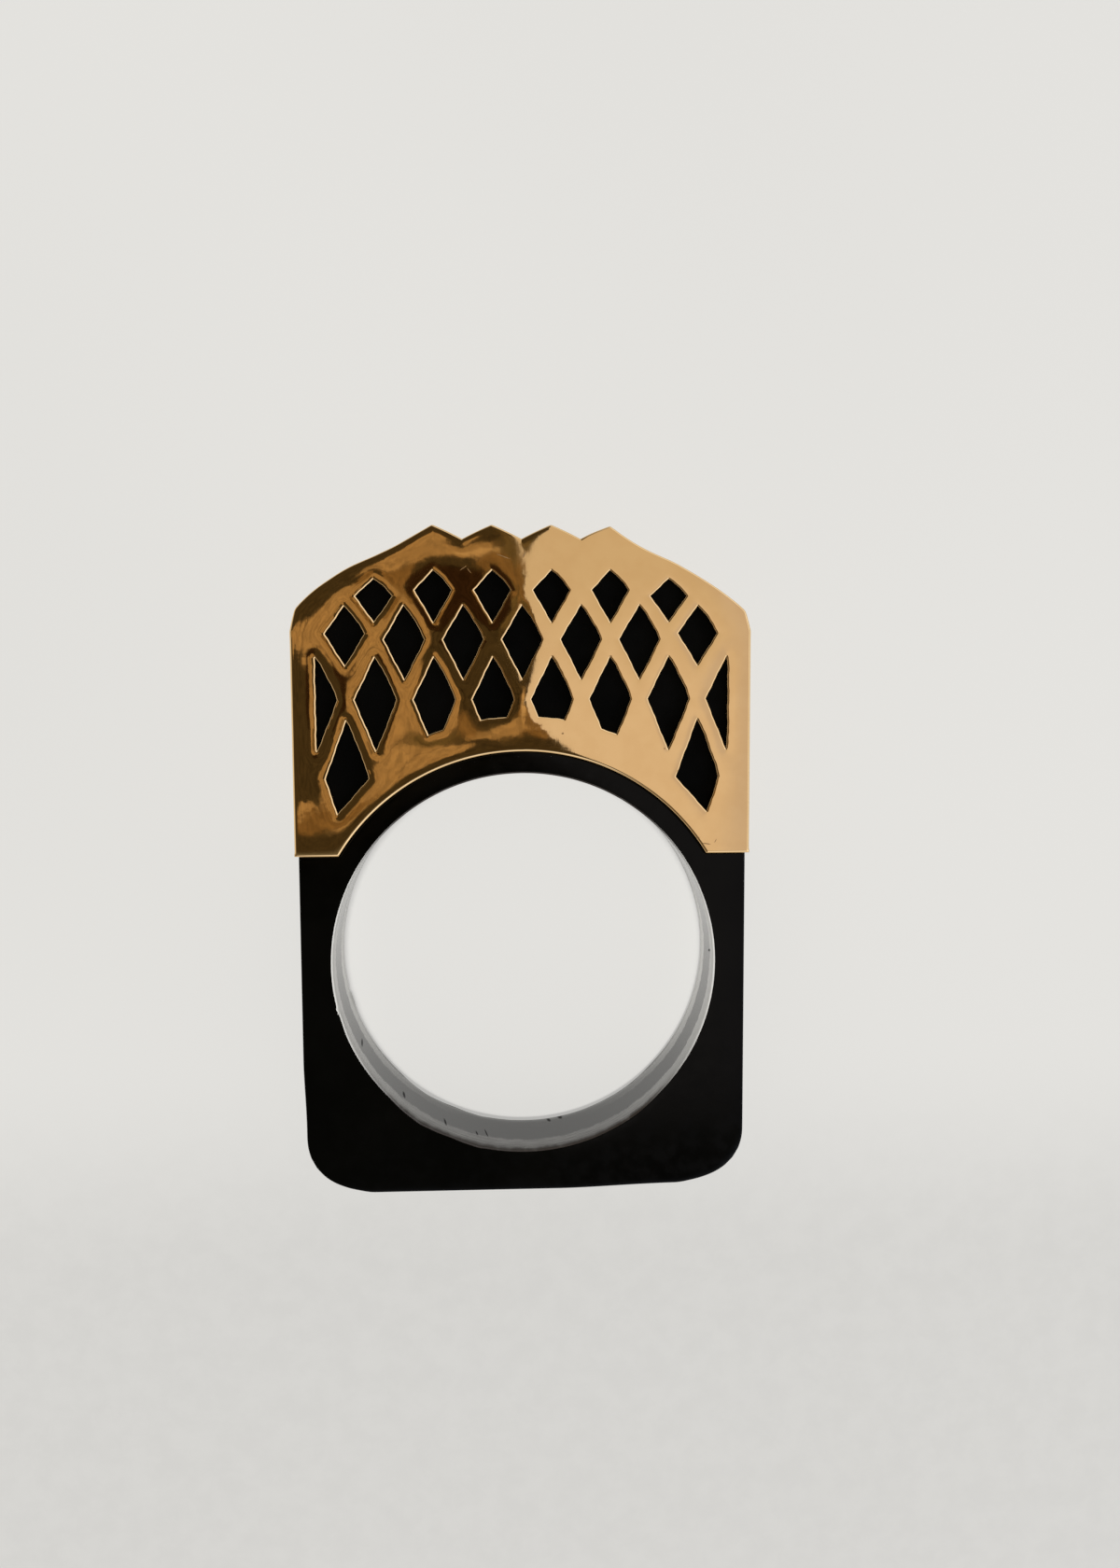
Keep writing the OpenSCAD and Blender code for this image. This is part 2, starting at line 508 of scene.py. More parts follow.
def fill(loops, rings=(), grid=PLAIN_GRID):
    """Points and triangles over the face between loops. The loops' own points come first, in order."""
    edge = np.concatenate([loop.points for loop in loops])
    added, gaps = [], []
    last = 0.0
    for distance in rings:
        ring = np.concatenate([loop.ring(distance) for loop in loops])
        ring = ring[inside(ring, loops)]
        ring = ring[clearance(ring, loops) > RING_CLEAR * distance]
        added.append(ring)
        gaps += [min(RING_APART * (distance - last), RING_APART_MOST)] * len(ring)
        last = distance
    low, high = edge.min(0), edge.max(0)
    rows = np.arange(low[1], high[1], grid * math.sqrt(3) / 2)
    columns = np.arange(low[0], high[0], grid)
    across, up = np.meshgrid(columns, rows)
    across = across + (np.arange(len(rows)) % 2 * grid / 2)[:, None]
    field = np.column_stack([across.ravel(), up.ravel()])
    field = field[inside(field, loops)]
    field = field[clearance(field, loops) > last + GRID_CLEAR * grid]
    added = np.concatenate([*added, field])
    gaps += [GRID_APART * grid] * len(field)
    points = np.concatenate([edge, added[spaced(added, gaps)]])
    borders = []
    for loop in loops:
        start = len(borders)
        count = len(loop.points)
        borders += [(start + i, start + (i + 1) % count) for i in range(count)]
    made = delaunay_2d_cdt([Vector(p) for p in points], borders, [], 0, 1e-7, True)
    origin = np.array([sources[0] for sources in made[3]])
    triangles = origin[np.array(made[2])]
    triangles = triangles[inside(points[triangles].mean(1), loops)]
    a, b, c = (points[triangles[:, k]] for k in range(3))
    area = cross(b - a, c - a)
    triangles[area < 0] = triangles[area < 0][:, ::-1]
    return points, triangles[np.abs(area) > SLIVER]


def hole_falls(hole):
    """The shallow falls round one hole of the lattice."""
    across = abs(hole.points[:, 0].mean())
    return tuple((slope + growth * across, length) for slope, growth, length in HOLE_FALLS)


def edge_lean(rim, falls):
    """How far the normals tip up at a polished edge."""
    return 1 / (rim[1] + sum(slope for slope, _ in falls))


def ramp(values, low, high):
    """0 below low, 1 above high, and even between."""
    return np.clip((values - low) / (high - low), 0, 1)


def cap_rim(places):
    """Width and steepest slope of the rolled rim at places along the cap's outer edge."""
    lower = (np.hypot(*places.T) < HOLE_R + 2 * ARCH_STRIP) | (places[:, 1] < LEG_Y + SIDE_RIM[0])
    top = ramp(places[:, 1], *TOP_FROM)
    return tuple(
        np.where(lower, arch, side + (crisp - side) * top)
        for side, arch, crisp in zip(SIDE_RIM, ARCH_RIM, TOP_RIM)
    )


def polish(points, loops, rims, falls, waves=(), right_share=1.0):
    """How far each point lies under the flat face, and the slope there, once the edges are polished."""
    edge_count = sum(len(loop.points) for loop in loops)
    probes = points.copy()
    probes[:edge_count] += PROBE * np.concatenate([loop.inward() for loop in loops])
    lowered, rolled = np.zeros((2, len(points), 3))
    for loop, rim, terms in zip(loops, rims, falls):
        for side in loop.sides():
            near, distance, away = nearest(probes, side, REACH)
            for start, length in terms:
                fall = start * np.exp(-distance / length)
                if loop is loops[0]:
                    facing = (away[:, 0] < 0) * ramp(probes[near, 0], *RIGHT_FROM)
                    fall *= 1 - (1 - right_share) * facing
                lowered[near] += raised(away * fall[:, None], fall * length)
            width, steep = rim(probes[near]) if callable(rim) else rim
            left = np.clip(1 - distance / width, 0, None)
            edge = raised(away * (steep * left)[:, None], steep * width / 2 * left**2)
            deeper = edge[:, 2] > rolled[near, 2]
            rolled[near[deeper]] = edge[deeper]
    lowered += rolled
    for wavelength, direction, steepness, phase in waves:
        heading = np.array([math.cos(direction), math.sin(direction)])
        turns = 2 * math.pi * (points @ heading) / wavelength + phase
        height = steepness * wavelength / (2 * math.pi) * (1 - np.sin(turns))
        lowered += raised((steepness * np.cos(turns))[:, None] * heading, height)
    return lowered[:, 2], lowered[:, :2]


def placed(name, data):
    """A new object of the scene."""
    made = bpy.data.objects.new(name, data)
    bpy.context.scene.collection.objects.link(made)
    return made


def raised(plan, level):
    """Places over a plan at a level or levels."""
    return np.column_stack([plan, np.broadcast_to(level, len(plan))])


class Solid:
    """The upper half of a piece, as patches of faces. Its mirror image in Z = 0 is the other half."""

    def __init__(self, loops, plan, top):
        """The loops bound the front face, and their points come first in its plan."""
        self.patches = []
        self.front = raised(plan, top)
        self.edge = self.front[: sum(len(loop.points) for loop in loops)]

    def add(self, corners, normals, skin):
        """Adds faces of equally many corners, with a normal for each corner, in one skin."""
        self.patches.append((corners, np.broadcast_to(normals, corners.shape), skin))

    def front_face(self, triangles, slope, skin):
        self.add(self.front[triangles], unit(raised(-slope, 1.0))[triangles], skin)

    def levels(self, path):
        """Heights of a path's points, which are on the edge of the front face."""
        found = [np.hypot(*(self.edge[:, :2] - place).T).argmin() for place in path.points]
        return self.edge[found, 2]

    def strip(self, path, upper, lower, skin, lean=(0.0, 0.0), foot=None):
        """Faces from a path at one level down to the path, or the points of foot, at another.

        lean is how far the normals tip up at the upper and the lower edge.
        """
        start, end = -left_of(path.out[:-1]), -left_of(path.into[1:])
        high, low = raised(path.points, upper), raised(path.points if foot is None else foot, lower)
        corners = [high[:-1], low[:-1], low[1:], high[1:]]
        leaning = ((start, lean[0]), (start, lean[1]), (end, lean[1]), (end, lean[0]))
        normals = [unit(raised(facing, tip)) for facing, tip in leaning]
        self.add(np.stack(corners, axis=1), np.stack(normals, axis=1), skin)

    def rim_wall(self, path, bottom, skin, lean):
        """A wall below a polished edge: a narrow strip that turns over, then a plain one."""
        level = self.levels(path)
        self.strip(path, level, level - RIM_DEPTH, skin, lean=(lean, 0.0))
        if bottom is not None:
            self.strip(path, level - RIM_DEPTH, bottom, skin)

    def end_face(self, high, low, low_level, skin):
        """The flat end below a straight edge, whose deeper part starts where the low path ends."""
        if (low.points[-1] - low.points[0]) @ (high.points[-1] - high.points[0]) < 0:
            low = low.backwards()
        ring = list(raised(high.points, self.levels(high) - RIM_DEPTH))
        if np.linalg.norm(high.points[-1] - low.points[-1]) > SAME:
            ring += [(*high.points[-1], 0), (*low.points[-1], 0)]
        ring += list(raised(low.points[::-1], low_level))
        if np.linalg.norm(high.points[0] - low.points[0]) > SAME:
            ring += [(*low.points[0], 0), (*high.points[0], 0)]
        normal = (*-left_of(high.out[0]), 0.0)
        self.add(np.array(ring[::-1])[None], normal, skin)

    def walls(self, outline, inner, inner_top, arc, end, cut, side, inner_skin, hollow=False):
        """Walls round a piece, and round the core or hollow that it has past an arc and a level line.

        cut and side are the skin and the lean of the piece's walls there and elsewhere.
        """
        arcs, ends, sides = outline.parts(arc, end)
        _, inner_ends, inner_sides = inner.parts(arc, end)
        for path in arcs:
            self.rim_wall(path, inner_top, *cut)
        for path in sides:
            self.rim_wall(path, 0.0, *side)
        for path in inner_sides:
            self.strip(path.backwards() if hollow else path, inner_top, 0.0, inner_skin)
        for high in ends:
            self.rim_wall(high, None, *cut)
            low = next(v for v in inner_ends if v.points[0][0] * high.points[0][0] > 0)
            self.end_face(high, low, inner_top, cut[0])

    def build(self, name, skins):
        """A closed mesh object of the patches and their mirror image, with their points joined."""
        rows = []
        for places, facing, skin in self.patches:
            for sign, order in ((1, 1), (np.array([1, 1, -1]), -1)):
                ends = ((v * sign)[:, ::order].reshape(-1, 3) for v in (places, facing))
                rows.append((*ends, np.full(len(places), places.shape[1]), np.full(len(places), skin)))
        corners, normals, sizes, skin_of = (np.concatenate(column) for column in zip(*rows))
        cells = (corners * WELD_STEPS).round().astype(int)
        _, first, number = np.unique(cells, axis=0, return_index=True, return_inverse=True)
        mesh = bpy.data.meshes.new(name)
        mesh.vertices.add(len(first))
        mesh.vertices.foreach_set("co", (corners[first] * MM).ravel())
        mesh.loops.add(len(corners))
        mesh.loops.foreach_set("vertex_index", number.reshape(-1))
        mesh.polygons.add(len(sizes))
        mesh.polygons.foreach_set("loop_start", np.cumsum(sizes) - sizes)
        mesh.polygons.foreach_set("material_index", skin_of)
        mesh.polygons.foreach_set("use_smooth", np.ones(len(sizes), bool))
        for material in skins:
            mesh.materials.append(material)
        mesh.update(calc_edges=True)
        mesh.normals_split_custom_set(unit(normals))
        return placed(name, mesh)


def snapped(loop, other):
    """Moves a loop's points onto those of another that they nearly meet."""
    for i, place in enumerate(loop.points):
        apart = np.hypot(*(other.points - place).T)
        if apart.min() < SAME:
            loop.points[i] = other.points[apart.argmin()]
    return loop


def gold_cap(skins):
    """The pierced cap: two panels with polished edges, joined by walls along the sides and the top."""
    corners, *hole_corners = face_loops("gold_cap", PANEL_TOP)
    outline = sampled(rounded(corners))
    outline.stray(CAP_STRAYS)
    holes = [sampled(ring) for ring in hole_corners]
    for number, hole in enumerate(holes):
        hole.saw(number)
    loops = [outline, *holes]
    plan, triangles = fill(loops, GOLD_RINGS, GOLD_GRID)
    rims = [cap_rim] + [HOLE_RIM] * len(holes)
    falls = [EDGE_FALLS] + [hole_falls(hole) for hole in holes]
    drop, slope = polish(plan, loops, rims, falls, WAVES, RIGHT_SHARE)
    solid = Solid(loops, plan, PANEL_TOP - drop)
    solid.front_face(triangles, slope, GOLD_FACE)

    # The ceiling of the pocket behind the panel
    pocket = snapped(sampled(face_loops("gold_cap", -POCKET_TOP)[0]), outline)
    behind, below = fill([pocket, *holes])
    solid.add(raised(behind, POCKET_TOP)[below[:, ::-1]], (0.0, 0.0, -1.0), GOLD_SAWN)

    for hole, terms in zip(holes, falls[1:]):
        solid.rim_wall(hole.closed(), POCKET_TOP, GOLD_SAWN, edge_lean(HOLE_RIM, terms))
    arch = HOLE_R + ARCH_STRIP
    cut = GOLD_SAWN, edge_lean(ARCH_RIM, EDGE_FALLS)
    side = GOLD_FACE, edge_lean(SIDE_RIM, EDGE_FALLS)
    solid.walls(outline, pocket, POCKET_TOP, arch, LEG_Y, cut, side, GOLD_SAWN, hollow=True)
    return solid.build("gold_cap_polished", skins)


def bore_wall(solid, mouth):
    """Adds the wall of the finger hole, whose flare fades with depth."""
    ring = mouth.closed()
    spokes = unit(ring.points)
    flare = np.hypot(*ring.points.T)[:, None] - HOLE_R
    rows = [(1.0, solid.levels(ring).min(), 1.0)]
    for share in MOUTH_ROWS:
        slope = (MOUTH_R - HOLE_R) * MOUTH_BEND * share ** (MOUTH_BEND - 1) / MOUTH_DEPTH
        rows.append((share**MOUTH_BEND, BAND_TOP - MOUTH_DEPTH * (1 - share), slope))
    rows.append((0.0, 0.0, 0.0))
    for (upper, upper_z, upper_lean), (lower, lower_z, lower_lean) in zip(rows, rows[1:]):
        high, low = (spokes * (HOLE_R + flare * share) for share in (upper, lower))
        leans = (upper_lean, lower_lean)
        solid.strip(Path(high, ring.into, ring.out), upper_z, lower_z, RESIN_BORE, leans, foot=low)


def on_rim(places, mouth):
    """True where a place is on the rolled rim round the finger hole's mouth."""
    directions, edge = (np.arctan2(v[:, 1], v[:, 0]) for v in (places, mouth.points))
    reach = np.interp(directions, edge, np.hypot(*mouth.points.T), period=2 * math.pi)
    return np.hypot(*places.T) < reach + RESIN_RIM[0]


def resin_band(skins):
    """The band: flat faces, polished edges, a fine round finger hole, and the core under the cap."""
    outline = sampled(face_loops("resin_band", BAND_TOP)[0])
    outline.stray(BAND_STRAYS)
    mouth = finger_mouth()
    loops = [outline, mouth]
    plan, triangles = fill(loops, RESIN_RINGS, RESIN_GRID)
    drop, slope = polish(plan, loops, [RESIN_RIM] * 2, [RESIN_FALLS] * 2)
    solid = Solid(loops, plan, BAND_TOP - drop)
    at_mouth = on_rim(plan[triangles].mean(1), mouth)
    solid.front_face(triangles[~at_mouth], slope, RESIN_FACE)
    solid.front_face(triangles[at_mouth], slope, RESIN_BORE)

    core = snapped(sampled(face_loops("resin_band", CORE_TOP)[0]), outline)
    behind, below = fill([core])
    solid.add(raised(behind, CORE_TOP)[below], (0.0, 0.0, 1.0), RESIN_CORE)

    disc = HOLE_R + ARCH_STRIP - SEAT_GAP
    plain = RESIN_FACE, edge_lean(RESIN_RIM, RESIN_FALLS)
    solid.walls(outline, core, CORE_TOP, disc, SHELF_Y, plain, plain, RESIN_CORE)
    bore_wall(solid, mouth)
    return solid.build("resin_band_polished", skins)


class Tree:
    """Short ways to add and join the nodes of one shader."""

    def __init__(self, owner):
        owner.use_nodes = True
        self.tree = owner.node_tree
        self.tree.nodes.clear()

    def add(self, kind, inputs=(), **settings):
        made = self.tree.nodes.new(kind)
        for key, value in settings.items():
            setattr(made, key, value)
        for key, value in dict(inputs).items():
            if isinstance(value, bpy.types.NodeSocket):
                self.tree.links.new(value, made.inputs[key])
            else:
                made.inputs[key].default_value = value
        return made

    def math(self, operation, a, b=0.0, c=0.0):
        return self.add("ShaderNodeMath", {0: a, 1: b, 2: c}, operation=operation).outputs[0]

    def vector(self, operation, *inputs):
        made = self.add("ShaderNodeVectorMath", enumerate(inputs), operation=operation)
        return made.outputs["Value" if operation in ("LENGTH", "DOT_PRODUCT") else "Vector"]

    def split(self, where):
        return self.add("ShaderNodeSeparateXYZ", {0: where}).outputs

    def join(self, x, y):
        return self.add("ShaderNodeCombineXYZ", {0: x, 1: y}).outputs[0]

    def blend(self, share, a, b):
        """A number between a and b."""
        return self.add("ShaderNodeMix", {0: share, 2: a, 3: b}, data_type="FLOAT").outputs[0]

    def tint(self, share, a, b):
        """A colour between a and b."""
        a, b = ((*c, 1.0) if isinstance(c, tuple) else c for c in (a, b))
        return self.add("ShaderNodeMix", {0: share, 6: a, 7: b}, data_type="RGBA").outputs[2]

    def step(self, value, low, high):
        """0 below low, 1 above high, and smooth between."""
        inputs = {0: value, 1: low, 2: high}
        return self.add("ShaderNodeMapRange", inputs, interpolation_type="SMOOTHSTEP").outputs[0]

    def fade(self, value, stretch, a, b):
        """A colour that turns from a to b over a stretch of a value."""
        return self.tint(self.step(value, *stretch), a, b)

    def noise(self, where, scale=1.0, detail=2.0, roughness=0.5, colour=False):
        inputs = {"Vector": where, "Scale": scale, "Detail": detail, "Roughness": roughness}
        return self.add("ShaderNodeTexNoise", inputs).outputs[int(colour)]

    def blots(self, where, low, high, **settings):
        """Noise made into blots: 0 where it is below low and 1 where it is above high."""
        return self.step(self.noise(where, **settings), low, high)

    def scaled(self, where, factors):
        return self.vector("MULTIPLY", where, factors)

    def dimmed(self, colour, share):
        return self.scaled(colour, (share,) * 3)

    def ellipse(self, where, centre, half, turn):
        """How far out a place is of an ellipse: 0 at its centre and 1 on its edge."""
        offset = self.vector("SUBTRACT", where, (*centre, 0.0))
        inputs = {"Vector": offset, "Angle": -math.radians(turn)}
        turned = self.add("ShaderNodeVectorRotate", inputs, rotation_type="Z_AXIS").outputs[0]
        return self.vector("LENGTH", self.scaled(turned, (1 / half[0], 1 / half[1], 0.0)))

    def marks(self, where, rows, soft):
        """1 in the middle of each ellipse and 0 outside them all."""
        share = 0.0
        for row in rows:
            share = self.math("MAXIMUM", share, self.step(self.ellipse(where, *row), *soft))
        return share

    def wander(self, where, scale, reach):
        """A place moved about by noise, up to half its reach each way."""
        shift = self.vector("SUBTRACT", self.noise(where, scale, 3.0, colour=True), (0.5, 0.5, 0.5))
        return self.vector("MULTIPLY_ADD", shift, (reach, reach, 0.0), where)

    def bumps(self, height, distance):
        """The input of a surface that gives it bumps."""
        inputs = {"Strength": 1.0, "Distance": distance, "Height": height}
        return {"Normal": self.add("ShaderNodeBump", inputs).outputs[0]}

    def surface(self, tint, finish, others):
        """The finished surface of a material."""
        inputs = {"Base Color": tint, "Roughness": finish, **others}
        shader = self.add("ShaderNodeBsdfPrincipled", inputs)
        self.add("ShaderNodeOutputMaterial", {"Surface": shader.outputs[0]})


def new_material(name):
    """An empty material with its tree, and the place on the object in metres."""
    material = bpy.data.materials.new(name)
    tree = Tree(material)
    return material, tree, tree.add("ShaderNodeTexCoord").outputs["Object"]


def gold_material(name, roughness, bump, marked=False):
    """Yellow gold, with faint mottling, wheel lines and uneven gloss."""
    material, tree, place = new_material(name)
    mottle = tree.blots(place, 0.35, 0.65, scale=900.0, detail=3.0)
    tint = tree.tint(mottle, GOLD_PALE, GOLD_DEEP)
    cloud = tree.blots(place, 0.4, 0.75, scale=350.0, detail=4.0, roughness=0.6)
    finish = tree.blend(cloud, *roughness)
    lines = tree.noise(tree.scaled(place, WHEEL_LINES), detail=3.0)
    ripple = tree.noise(place, scale=1400.0)
    height = tree.math("ADD", ripple, tree.math("MULTIPLY", lines, WHEEL_SHARE))
    if marked:
        marks = tree.marks(tree.dimmed(place, 1 / MM), GOLD_MARKS, MARK_SOFT)
        in_front = tree.math("GREATER_THAN", tree.split(place)[2], 0.0)
        marks = tree.math("MULTIPLY", marks, in_front)
        tint = tree.tint(tree.math("MULTIPLY", marks, MARK_STRENGTH), tint, MARK_TINT)
        finish = tree.blend(marks, finish, MARK_ROUGHNESS)
    tree.surface(tint, finish, {"Metallic": 1.0, **tree.bumps(height, bump)})
    return material


def resin_material(name, gloss, roughness, bump):
    """Black resin, with faint clouding and fine sanding marks."""
    material, tree, place = new_material(name)
    cloud = tree.blots(place, 0.35, 0.7, scale=240.0, detail=4.0, roughness=0.55)
    tint = tree.tint(cloud, RESIN_DARK, RESIN_WARM)
    sanding = tree.noise(tree.scaled(place, RESIN_SANDING), detail=4.0)
    finish = tree.blend(tree.step(sanding, 0.3, 0.7), *roughness)
    tree.surface(tint, finish, {"Specular IOR Level": gloss, **tree.bumps(sanding, bump)})
    return material


def bore_material(name, gloss, roughness, bump):
    """The wall of the finger hole: polished in the middle, hand-sanded and paler towards each mouth,
    with a painted reflection at the left and right and painted shade on the lip.
    """
    material, tree, place = new_material(name)
    x, y, z = tree.split(tree.dimmed(place, 1 / MM))
    around = tree.math("MULTIPLY", tree.math("ARCTAN2", y, x), HOLE_R)
    flat = tree.join(around, z)
    fray = tree.math("SUBTRACT", tree.noise(tree.scaled(flat, BORE_FRAY), detail=5.0), 0.5)
    level = tree.math("MULTIPLY_ADD", fray, SANDED_FRAY, tree.math("ABSOLUTE", z))
    sanded = tree.step(level, SANDED_FROM - SANDED_SOFT, SANDED_FROM + SANDED_SOFT)
    lines = tree.noise(tree.scaled(flat, BORE_LINES), detail=5.0, roughness=0.65)
    pale = tree.fade(lines, (0.3, 0.7), SANDED_DARK, SANDED_PALE)
    pale = tree.fade(z, BACK_FROM, SANDED_BACK, pale)
    # Towards the left and the right the wall's colour is lighter: a painted reflection
    side = tree.math("ABSOLUTE", tree.math("DIVIDE", x, HOLE_R))
    side_reflection = tree.math("POWER", side, SIDE_REFLECTION_POWER)
    tint = tree.fade(side, SIDE_REFLECTION_FROM, BORE_COLOUR, BORE_SIDE_REFLECTION)
    tint = tree.tint(sanded, tint, tree.tint(side_reflection, pale, SANDED_SIDE_REFLECTION))
    # Painted shade: the lip of the hole is darker near the middle of its top and bottom
    lip_shaded = tree.math("MULTIPLY", tree.step(level, *LIP_SHADE_FROM), tree.step(side, *LIP_SHADE_SIDES))
    tint = tree.tint(lip_shaded, tint, LIP_PAINTED_SHADE)
    finish = tree.blend(sanded, *roughness)
    finish = tree.blend(tree.step(lines, 0.45, 0.8), finish, tree.math("ADD", finish, 0.05))
    finish = tree.blend(lip_shaded, finish, LIP_SHADE_ROUGHNESS)
    rows = (
        ((math.radians(direction) * HOLE_R, height), (half_round, half_up), SCRATCH_TURN)
        for direction, height, half_up, half_round in BORE_SCRATCHES
    )
    marks = tree.marks(flat, rows, SCRATCH_SOFT)
    finish = tree.blend(marks, finish, SCRATCH_ROUGHNESS)
    tint = tree.tint(marks, tint, RESIN_DARK)
    tree.surface(tint, finish, {"Specular IOR Level": gloss, **tree.bumps(lines, bump)})
    return material


# The room that the polished faces mirror. Places are where a thing shows on the flat front, in mm.
MIRROR_HEIGHT = CAMERA_AT.z - PANEL_TOP
SHADE = (0.052, 0.038, 0.018)
DEEP = (0.027, 0.0135, 0.006)
OLIVE = (0.115, 0.082, 0.034)
BROWN = (0.2, 0.12, 0.045)
AMBER = (0.345, 0.228, 0.107)
BRIGHT_AMBER = (0.48, 0.335, 0.175)
LIGHT = (0.79, 0.72, 0.69)
FILL_COLOUR = (0.14, 0.14, 0.138)
# Colours laid over the dark and the light half: direction, stretch over which it fades in, colour
SHADE_LAYERS = (((0.0, 1.0), (4.0, 0.0), (0.14, 0.13, 0.10)),)
LIGHT_LAYERS = (
    ((0.0, 1.0), (10.5, 18.0), (0.69, 0.62, 0.55)),
    ((1.0, 0.0), (7.5, 10.5), (0.67, 0.62, 0.64)),
    ((0.0, 1.0), (-4.5, -10.0), (0.03, 0.03, 0.025)),
)
# The line between the dark and the light half of the room, which bows out below BOW_TOP
DIVIDE_X = 0.27
BOW_TOP = 12.3
BOW_DEPTH = 2.6
BOW_SHARE = 0.26
BOW_POWER = 1.6
# Shapes in the dark half, later ones on top: centre, half sizes, turn in degrees, softness, colour
PATCHES = (
    ((-12.5, 14.85), (5.5, 0.8), 0, 0.2, AMBER),
    ((-7.0, 14.9), (2.9, 1.6), 8, 0.12, AMBER),
    ((-5.6, 17.2), (1.2, 1.4), -15, 0.12, BROWN),
    ((-4.0, 18.6), (2.7, 0.75), 8, 0.12, AMBER),
    ((-5.0, 19.3), (2.6, 1.25), 33, 0.12, AMBER),
    ((-1.7, 18.45), (1.1, 0.3), -4, 0.25, BRIGHT_AMBER),
    ((-5.5, 11.4), (2.2, 2.7), 12, 0.1, AMBER),
    ((-6.0, 8.4), (3.4, 1.4), 40, 0.15, AMBER),
    ((-3.7, 8.7), (1.7, 0.85), 20, 0.15, AMBER),
    ((-9.5, 6.75), (3.6, 0.6), 6, 0.3, BROWN),
    ((-10.8, 7.1), (2.0, 0.25), 8, 0.3, AMBER),
    ((-3.8, 10.3), (1.7, 0.45), 4, 0.5, OLIVE),
    ((-1.65, 10.15), (1.1, 0.4), -5, 0.2, AMBER),
    ((-2.6, 11.0), (0.65, 1.0), 25, 0.35, BROWN),
    ((0.35, 10.8), (0.65, 1.25), 30, 0.3, BROWN),
    ((-0.45, 10.6), (0.8, 0.5), 10, 0.25, AMBER),
    ((-1.9, 14.2), (1.9, 2.5), 25, 0.12, SHADE),
    ((-0.35, 17.6), (0.8, 3.2), 0, 0.3, OLIVE),
    ((-0.05, 11.7), (0.2, 0.8), 8, 0.5, BRIGHT_AMBER),
    ((0.1, 17.0), (0.2, 1.5), 0, 0.6, BROWN),
    ((-2.6, 16.1), (2.0, 1.35), -9, 0.12, DEEP),
    ((-8.3, 12.2), (0.65, 1.7), -5, 0.3, DEEP),
    ((-1.05, 17.6), (1.05, 0.55), -35, 0.25, BROWN),
)
OUTLINE_WIDTH = 0.07
OUTLINE_DARK = 0.55
# Noise that moves the shapes about, and noise that frays the line between the halves: scale, reach
WANDERS = ((0.45, 1.2), (2.2, 0.4))
DIVIDE_FRAY = (6.5, 0.34)
# How soft that line is, and from where up it is frayed
DIVIDE_SOFT = (-0.03, 0.03)
FRAYED_FROM = (12.0, 14.0)
# Streaks in the dark half: steps per mm, and how much duller and brighter they make it
STREAKS = (3.4, 1.6, 0.0)
STREAK_SHARES = (0.8, 1.35)
# Ways lower than this count as this high
LEAST_UP = 0.02
# The room near the horizon is WEST, with these colours laid over it by compass direction
WEST = (0.2, 0.16, 0.12)
SLANT = math.sqrt(0.5)
HORIZON_LAYERS = (
    ((0.0, 1.0), (0.3, 0.9), (0.8, 0.83, 0.9)),
    ((0.0, -1.0), (0.2, 0.8), (1.1, 1.15, 1.35)),
    ((-SLANT, SLANT), (0.75, 0.95), (0.05, 0.035, 0.02)),
    ((-SLANT, -SLANT), (0.8, 0.95), (0.14, 0.10, 0.07)),
    ((1.0, 0.0), (0.1, 0.7), (1.35, 1.45, 1.75)),
)
# Shares of a level way over which the front of the room gives way to the horizon
HORIZON = (0.41, 0.62)
# The room is one calm tone from here down to the floor
CALM = (0.58, 0.56, 0.53)
CALM_FROM = (0.82, 0.92)
BACKDROP = (0.76, 0.755, 0.735)


def patch(tree, where, under, centre, half, turn, soft, shade):
    """An ellipse with a soft edge and a faint dark outline, over a colour."""
    away = tree.ellipse(where, centre, half, turn)
    over = tree.tint(tree.step(away, 1 + soft, 1 - soft), under, shade)
    near = tree.math("ABSOLUTE", tree.math("SUBTRACT", away, 1.0))
    outline = tree.step(near, OUTLINE_WIDTH, 0.0)
    return tree.tint(outline, over, tree.dimmed(over, OUTLINE_DARK))


def layered(tree, where, colour, layers):
    """Colours laid over a colour, each of which fades in along a direction of its own."""
    for towards, stretch, shade in layers:
        along = tree.vector("DOT_PRODUCT", where, (*towards, 0.0))
        colour = tree.fade(along, stretch, colour, shade)
    return colour


